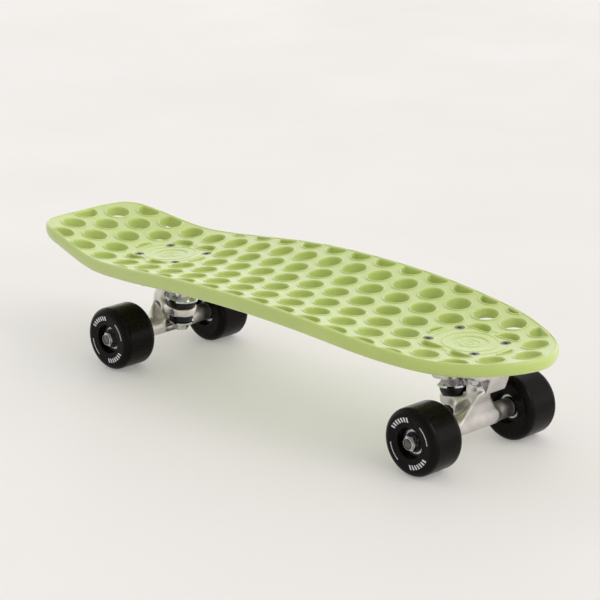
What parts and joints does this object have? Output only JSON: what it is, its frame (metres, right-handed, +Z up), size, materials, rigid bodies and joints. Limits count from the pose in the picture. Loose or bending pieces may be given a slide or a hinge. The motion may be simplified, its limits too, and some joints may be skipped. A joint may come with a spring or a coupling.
{
  "type": "skateboard",
  "caption": "Short plastic cruiser skateboard with a perforated kicktail deck, two sprung leaning trucks and four soft free-rolling wheels.",
  "frame": {"origin": "on the floor under the middle of the deck's length, on its centreline", "axes": "+X towards the nose, +Y towards the rider's left, +Z up"},
  "size_m": [0.6266, 0.1846, 0.1225],
  "materials": {
    "deck_plastic": "moulded",
    "black_oxide": "satin",
    "zinc": "zinc plated",
    "cast_aluminium": "raw cast, tumbled",
    "pivot_urethane": "matte",
    "kingpin_steel": "turned",
    "bushing_urethane": "satin",
    "washer_chrome": "polished",
    "axle_steel": "turned",
    "nylon_insert": "matte",
    "wheel_urethane": "glossy cast",
    "core_nylon": "satin",
    "bearing_steel": "ground",
    "shield_dark": "satin"
  },
  "bodies": {
    "deck": {"deck": "deck_plastic", "front_truck_bolts": "black_oxide", "front_bolt_nuts": "zinc", "front_baseplate": "cast_aluminium", "front_pivot_cup": "pivot_urethane", "front_kingpin": "kingpin_steel", "front_kingpin_nut": "zinc", "front_upper_bushing": "bushing_urethane", "front_lower_bushing": "bushing_urethane", "front_upper_washer": "washer_chrome", "front_lower_washer": "washer_chrome", "rear_truck_bolts": "black_oxide", "rear_bolt_nuts": "zinc", "rear_baseplate": "cast_aluminium", "rear_pivot_cup": "pivot_urethane", "rear_kingpin": "kingpin_steel", "rear_kingpin_nut": "zinc", "rear_upper_bushing": "bushing_urethane", "rear_lower_bushing": "bushing_urethane", "rear_upper_washer": "washer_chrome", "rear_lower_washer": "washer_chrome"},
    "front_hanger": {"front_hanger": "cast_aluminium", "front_axle": "axle_steel", "front_bearing_inner_rings": "bearing_steel", "front_bearing_spacers": "zinc", "front_speed_washers": "zinc", "front_axle_nuts": "zinc", "front_axle_nut_inserts": "nylon_insert"},
    "front_left_wheel": {"front_left_tyre": "wheel_urethane", "front_left_core": "core_nylon", "front_left_bearing_outer_rings": "bearing_steel", "front_left_bearing_balls": "bearing_steel", "front_left_bearing_shields": "shield_dark"},
    "front_right_wheel": {"front_right_tyre": "wheel_urethane", "front_right_core": "core_nylon", "front_right_bearing_outer_rings": "bearing_steel", "front_right_bearing_balls": "bearing_steel", "front_right_bearing_shields": "shield_dark"},
    "rear_hanger": {"rear_hanger": "cast_aluminium", "rear_axle": "axle_steel", "rear_bearing_inner_rings": "bearing_steel", "rear_bearing_spacers": "zinc", "rear_speed_washers": "zinc", "rear_axle_nuts": "zinc", "rear_axle_nut_inserts": "nylon_insert"},
    "rear_left_wheel": {"rear_left_tyre": "wheel_urethane", "rear_left_core": "core_nylon", "rear_left_bearing_outer_rings": "bearing_steel", "rear_left_bearing_balls": "bearing_steel", "rear_left_bearing_shields": "shield_dark"},
    "rear_right_wheel": {"rear_right_tyre": "wheel_urethane", "rear_right_core": "core_nylon", "rear_right_bearing_outer_rings": "bearing_steel", "rear_right_bearing_balls": "bearing_steel", "rear_right_bearing_shields": "shield_dark"}
  },
  "joints": [
    {"name": "front_steer", "type": "hinge", "parent": "deck", "child": "front_hanger", "pos_m": [0.21155, 0, 0.049], "axis": [0.8161, 0, 0.5779], "range_deg": [-12, 12], "stiffness_Nm_per_rad": 60, "deforming": ["front_upper_bushing", "front_lower_bushing"]},
    {"name": "front_left_spin", "type": "hinge", "parent": "front_hanger", "child": "front_left_wheel", "pos_m": [0.23005, 0.06255, 0.03105], "axis": [0, 1, 0], "continuous": true},
    {"name": "front_right_spin", "type": "hinge", "parent": "front_hanger", "child": "front_right_wheel", "pos_m": [0.23005, -0.06255, 0.03105], "axis": [0, 1, 0], "continuous": true},
    {"name": "rear_steer", "type": "hinge", "parent": "deck", "child": "rear_hanger", "pos_m": [-0.15695, 0, 0.049], "axis": [-0.8161, 0, 0.5779], "range_deg": [-12, 12], "stiffness_Nm_per_rad": 60, "deforming": ["rear_upper_bushing", "rear_lower_bushing"]},
    {"name": "rear_left_spin", "type": "hinge", "parent": "rear_hanger", "child": "rear_left_wheel", "pos_m": [-0.17545, 0.06255, 0.03105], "axis": [0, 1, 0], "continuous": true},
    {"name": "rear_right_spin", "type": "hinge", "parent": "rear_hanger", "child": "rear_right_wheel", "pos_m": [-0.17545, -0.06255, 0.03105], "axis": [0, 1, 0], "continuous": true}
  ]
}
